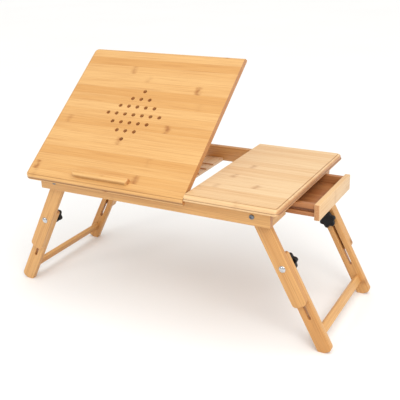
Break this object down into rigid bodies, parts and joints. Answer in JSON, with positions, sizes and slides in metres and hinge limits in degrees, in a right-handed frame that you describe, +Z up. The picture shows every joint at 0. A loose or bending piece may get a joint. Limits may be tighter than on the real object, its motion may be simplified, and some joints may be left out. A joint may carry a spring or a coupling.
{
  "type": "laptop stand with drawer",
  "caption": "Bamboo bed table for a laptop: a tilting panel with vent holes, a fixed side panel with a drawer under it, and folding legs that change length.",
  "frame": {"origin": "middle of the footprint of the whole object at rest, on the floor", "axes": "+X to the right along the table's length, towards the drawer; +Y to the back, away from the user; +Z up"},
  "size_m": [0.7194, 0.349, 0.4801],
  "materials": {
    "bamboo_top": "satin lacquered bamboo strips, honey coloured",
    "bamboo_pale": "satin lacquered bamboo strips, pale",
    "bamboo_frame": "satin lacquered bamboo",
    "bamboo_inner": "plain sanded bamboo",
    "bamboo_legs": "satin lacquered bamboo, tan",
    "drawer_board": "thin sanded board",
    "black_plastic": "moulded, slightly glossy",
    "white_plastic": "plain moulded spacer",
    "bright_steel": "bright plated steel",
    "grey_steel": "dull zinc plated steel"
  },
  "bodies": {
    "frame": {"front_rail": "bamboo_frame", "rear_rail": "bamboo_frame", "left_end_rail": "bamboo_frame", "right_end_rail_rear": "bamboo_frame", "right_end_rail_front": "bamboo_frame", "fixed_panel": "bamboo_pale", "middle_rack": "bamboo_inner", "left_rack": "bamboo_inner", "middle_rack_screws": "bright_steel", "left_rack_screws": "bright_steel", "hinge_frame_leaves": "bright_steel", "hinge_frame_screws": "bright_steel", "hinge_pins": "bright_steel", "drawer_guide_rear": "bamboo_inner", "drawer_guide_front": "bamboo_inner", "drawer_runner_rear": "bamboo_inner", "drawer_runner_front": "bamboo_inner", "pivot_bolts": "grey_steel", "pivot_spacers": "white_plastic"},
    "reading_panel": {"tilt_panel": "bamboo_top", "stop_ledge": "bamboo_frame", "hinge_panel_leaves": "bright_steel", "hinge_panel_screws": "bright_steel", "prop_brackets": "bright_steel", "prop_bracket_screws": "bright_steel", "prop_pins": "bright_steel"},
    "prop": {"prop_arm_left": "bamboo_inner", "prop_arm_right": "bamboo_inner", "prop_cross_bar": "bamboo_inner", "prop_foot_bar": "bamboo_inner"},
    "drawer": {"drawer_front": "bamboo_frame", "drawer_side_rear": "bamboo_inner", "drawer_side_front": "bamboo_inner", "drawer_back": "bamboo_inner", "drawer_bottom": "drawer_board"},
    "right_upper_legs": {"right_front_upper_leg": "bamboo_legs", "right_rear_upper_leg": "bamboo_legs", "right_clamp_bolts": "bright_steel", "right_knob_washers": "bright_steel"},
    "right_lower_legs": {"right_front_lower_leg": "bamboo_legs", "right_rear_lower_leg": "bamboo_legs", "right_stretcher": "bamboo_legs"},
    "right_rear_knob": {"right_rear_knob": "black_plastic"},
    "right_front_knob": {"right_front_knob": "black_plastic"},
    "left_upper_legs": {"left_front_upper_leg": "bamboo_legs", "left_rear_upper_leg": "bamboo_legs", "left_clamp_bolts": "bright_steel", "left_knob_washers": "bright_steel"},
    "left_lower_legs": {"left_front_lower_leg": "bamboo_legs", "left_rear_lower_leg": "bamboo_legs", "left_stretcher": "bamboo_legs"},
    "left_rear_knob": {"left_rear_knob": "black_plastic"},
    "left_front_knob": {"left_front_knob": "black_plastic"}
  },
  "joints": [
    {"name": "panel_tilt", "type": "hinge", "parent": "frame", "child": "reading_panel", "pos_m": [-0.09225, -0.15643, 0.27165], "axis": [-1, 0, 0], "range_deg": [0, 37.5]},
    {"name": "prop_swing", "type": "hinge", "parent": "reading_panel", "child": "prop", "pos_m": [-0.09225, -0.06572, 0.33413], "axis": [1, 0, 0], "range_deg": [0, 88.78]},
    {"name": "drawer_slide", "type": "slide", "parent": "frame", "child": "drawer", "axis": [-1, 0, 0], "range_m": [-0.055, 0.054]},
    {"name": "right_legs_fold", "type": "hinge", "parent": "frame", "child": "right_upper_legs", "pos_m": [0.2169, 0.00447, 0.2573], "axis": [0, 1, 0], "range_deg": [0, 107.8]},
    {"name": "right_legs_shorten", "type": "slide", "parent": "right_upper_legs", "child": "right_lower_legs", "axis": [-0.4617, 0, 0.887], "range_m": [0, 0.092]},
    {"name": "right_rear_knob_turn", "type": "hinge", "parent": "right_upper_legs", "child": "right_rear_knob", "pos_m": [0.26816, 0.12027, 0.15884], "axis": [0, -1, 0], "continuous": true},
    {"name": "right_front_knob_turn", "type": "hinge", "parent": "right_upper_legs", "child": "right_front_knob", "pos_m": [0.26816, -0.11133, 0.15884], "axis": [0, 1, 0], "continuous": true},
    {"name": "left_legs_fold", "type": "hinge", "parent": "frame", "child": "left_upper_legs", "pos_m": [-0.2169, 0.00447, 0.2573], "axis": [0, -1, 0], "range_deg": [0, 107.8]},
    {"name": "left_legs_shorten", "type": "slide", "parent": "left_upper_legs", "child": "left_lower_legs", "axis": [0.4617, 0, 0.887], "range_m": [0, 0.092]},
    {"name": "left_rear_knob_turn", "type": "hinge", "parent": "left_upper_legs", "child": "left_rear_knob", "pos_m": [-0.26816, 0.12027, 0.15884], "axis": [0, -1, 0], "continuous": true},
    {"name": "left_front_knob_turn", "type": "hinge", "parent": "left_upper_legs", "child": "left_front_knob", "pos_m": [-0.26816, -0.11133, 0.15884], "axis": [0, 1, 0], "continuous": true}
  ],
  "couplings": [
    {"joint": "prop_swing", "follows": "panel_tilt", "ratio": 2.3661}
  ]
}
